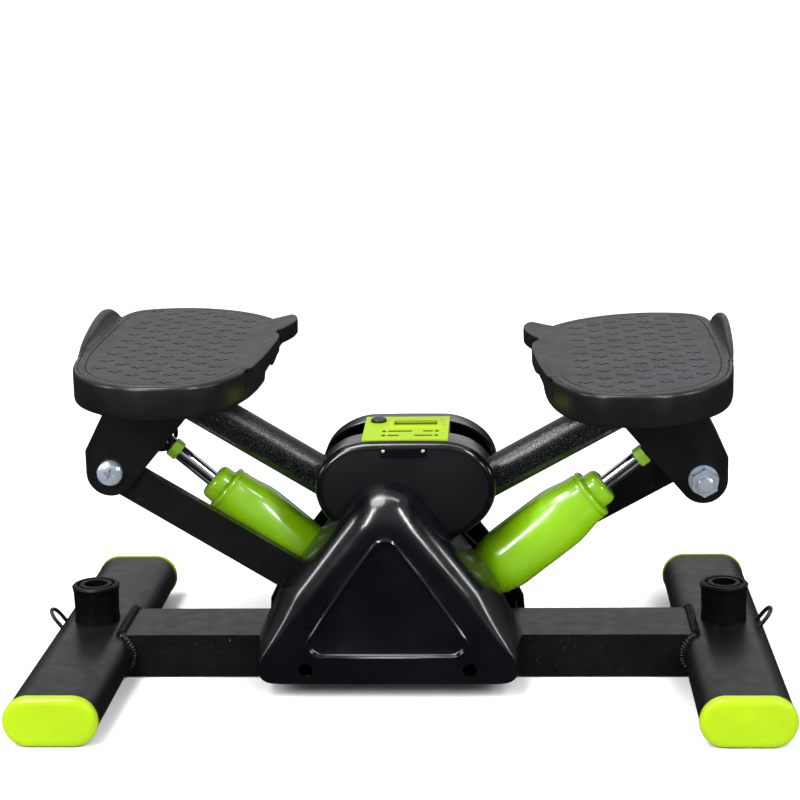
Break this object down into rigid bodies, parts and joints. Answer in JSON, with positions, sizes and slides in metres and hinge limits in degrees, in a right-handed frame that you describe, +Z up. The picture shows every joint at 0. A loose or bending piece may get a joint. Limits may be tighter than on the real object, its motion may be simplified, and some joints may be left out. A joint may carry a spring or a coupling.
{
  "type": "side stepper",
  "caption": "Side stepper with two see-saw coupled pedals on swinging arms, hydraulic dampers, covers, a small display and band eyelets.",
  "frame": {"origin": "on the floor, in the middle of the outline", "axes": "+X to the right of the user, +Y away from the user, +Z up"},
  "size_m": [0.5906, 0.37, 0.2823],
  "materials": {
    "lime_plastic": "glossy",
    "satin_black_paint": "satin",
    "textured_black_paint": "fine textured powder coat",
    "bumper_rubber": "matte",
    "zinc_steel": "bright zinc",
    "plain_steel": "machined",
    "bush_plastic": "matte",
    "damper_green": "high gloss",
    "chrome": "polished",
    "collar_olive": "glossy",
    "pedal_plastic": "satin",
    "tread_plastic": "matte, patterned",
    "gloss_black_plastic": "high gloss",
    "matte_black_plastic": "matte face, glossy rim",
    "display_glass": "clear over a grey display",
    "button_plastic": "matte",
    "circuit_board": "solder mask"
  },
  "bodies": {
    "base": {"arm_axles": "zinc_steel", "base_screws": "zinc_steel", "cross_tube": "satin_black_paint", "damper_pins": "zinc_steel", "display_board": "circuit_board", "display_case": "lime_plastic", "display_cell": "plain_steel", "display_window": "display_glass", "front_cover": "gloss_black_plastic", "left_bumper": "bumper_rubber", "left_eyelet": "satin_black_paint", "left_foot_tube": "satin_black_paint", "left_front_cap": "lime_plastic", "left_rear_cap": "lime_plastic", "link_axles": "zinc_steel", "rear_cover": "gloss_black_plastic", "right_bumper": "bumper_rubber", "right_eyelet": "satin_black_paint", "right_foot_tube": "satin_black_paint", "right_front_cap": "lime_plastic", "right_rear_cap": "lime_plastic", "tower_plate_front": "satin_black_paint", "tower_plate_rear": "satin_black_paint", "upper_cover_front": "matte_black_plastic", "upper_cover_rear": "matte_black_plastic"},
    "display_button": {"display_button": "button_plastic"},
    "left_arm": {"left_arm_bushes": "bush_plastic", "left_arm_tube": "textured_black_paint"},
    "left_pedal": {"left_bracket_bolt": "zinc_steel", "left_bracket_nut": "zinc_steel", "left_pedal_axle": "zinc_steel", "left_pedal_bracket": "textured_black_paint", "left_pedal_screws": "zinc_steel", "left_pedal_tray": "pedal_plastic", "left_pedal_tread": "tread_plastic"},
    "left_damper": {"left_damper_body": "damper_green", "left_damper_cylinder": "plain_steel"},
    "left_rod": {"left_damper_rod": "chrome", "left_piston": "plain_steel", "left_rod_collar": "collar_olive"},
    "left_link": {"left_link_bushes": "bush_plastic", "left_lower_link": "textured_black_paint"},
    "right_arm": {"right_arm_bushes": "bush_plastic", "right_arm_tube": "textured_black_paint"},
    "right_pedal": {"right_bracket_bolt": "zinc_steel", "right_bracket_nut": "zinc_steel", "right_pedal_axle": "zinc_steel", "right_pedal_bracket": "textured_black_paint", "right_pedal_screws": "zinc_steel", "right_pedal_tray": "pedal_plastic", "right_pedal_tread": "tread_plastic"},
    "right_damper": {"right_damper_body": "damper_green", "right_damper_cylinder": "plain_steel"},
    "right_rod": {"right_damper_rod": "chrome", "right_piston": "plain_steel", "right_rod_collar": "collar_olive"},
    "right_link": {"right_link_bushes": "bush_plastic", "right_lower_link": "textured_black_paint"},
    "tie_bar": {"tie_bar": "textured_black_paint"}
  },
  "joints": [
    {"name": "left_arm_hinge", "type": "hinge", "parent": "base", "child": "left_arm", "pos_m": [-0.02, 0, 0.1305], "axis": [0, 1, 0], "range_deg": [-25.9, 23.1]},
    {"name": "right_arm_hinge", "type": "hinge", "parent": "base", "child": "right_arm", "pos_m": [0.02, 0, 0.1305], "axis": [0, 1, 0], "range_deg": [-25.95, 23.15]},
    {"name": "left_link_hinge", "type": "hinge", "parent": "base", "child": "left_link", "pos_m": [-0.0549, 0, 0.0691], "axis": [0, 1, 0], "range_deg": [-25.95, 23.15]},
    {"name": "left_pedal_hinge", "type": "hinge", "parent": "left_arm", "child": "left_pedal", "pos_m": [-0.19377, 0, 0.23699], "axis": [0, 1, 0], "range_deg": [-23.15, 25.95]},
    {"name": "left_damper_hinge", "type": "hinge", "parent": "base", "child": "left_damper", "pos_m": [-0.04, 0, 0.0572], "axis": [0, 1, 0], "range_deg": [-25.57, 22.81]},
    {"name": "left_rod_slide", "type": "slide", "parent": "left_damper", "child": "left_rod", "axis": [-0.7562, 0, 0.6544], "range_m": [-0.01471, 0.01313]},
    {"name": "right_link_hinge", "type": "hinge", "parent": "base", "child": "right_link", "pos_m": [0.0549, 0, 0.0691], "axis": [0, 1, 0], "range_deg": [-25.95, 23.15]},
    {"name": "right_pedal_hinge", "type": "hinge", "parent": "right_arm", "child": "right_pedal", "pos_m": [0.19876, 0, 0.22837], "axis": [0, 1, 0], "range_deg": [-23.15, 25.95]},
    {"name": "right_damper_hinge", "type": "hinge", "parent": "base", "child": "right_damper", "pos_m": [0.04, 0, 0.0572], "axis": [0, 1, 0], "range_deg": [-25.57, 22.81]},
    {"name": "right_rod_slide", "type": "slide", "parent": "right_damper", "child": "right_rod", "axis": [0.7867, 0, 0.6173], "range_m": [-0.01313, 0.01471]},
    {"name": "tie_bar_hinge", "type": "hinge", "parent": "left_arm", "child": "tie_bar", "pos_m": [-0.02, 0, 0.1565], "axis": [0, 1, 0], "range_deg": [-23.15, 25.95]},
    {"name": "display_button_slide", "type": "slide", "parent": "base", "child": "display_button", "axis": [0, 0.0742, -0.9972], "range_m": [0, 0.0015], "stiffness_N_per_m": 300, "springref_m": -0.0005}
  ],
  "couplings": [
    {"joint": "right_arm_hinge", "follows": "left_arm_hinge", "ratio": 1},
    {"joint": "left_link_hinge", "follows": "left_arm_hinge", "ratio": 1},
    {"joint": "left_pedal_hinge", "follows": "left_arm_hinge", "ratio": -1},
    {"joint": "left_damper_hinge", "follows": "left_arm_hinge", "ratio": 0.98547},
    {"joint": "left_rod_slide", "follows": "left_arm_hinge", "m_per_rad": 0.03233},
    {"joint": "right_link_hinge", "follows": "left_arm_hinge", "ratio": 1},
    {"joint": "right_pedal_hinge", "follows": "left_arm_hinge", "ratio": -1},
    {"joint": "right_damper_hinge", "follows": "left_arm_hinge", "ratio": 0.98547},
    {"joint": "right_rod_slide", "follows": "left_arm_hinge", "m_per_rad": -0.03233},
    {"joint": "tie_bar_hinge", "follows": "left_arm_hinge", "ratio": -1}
  ]
}
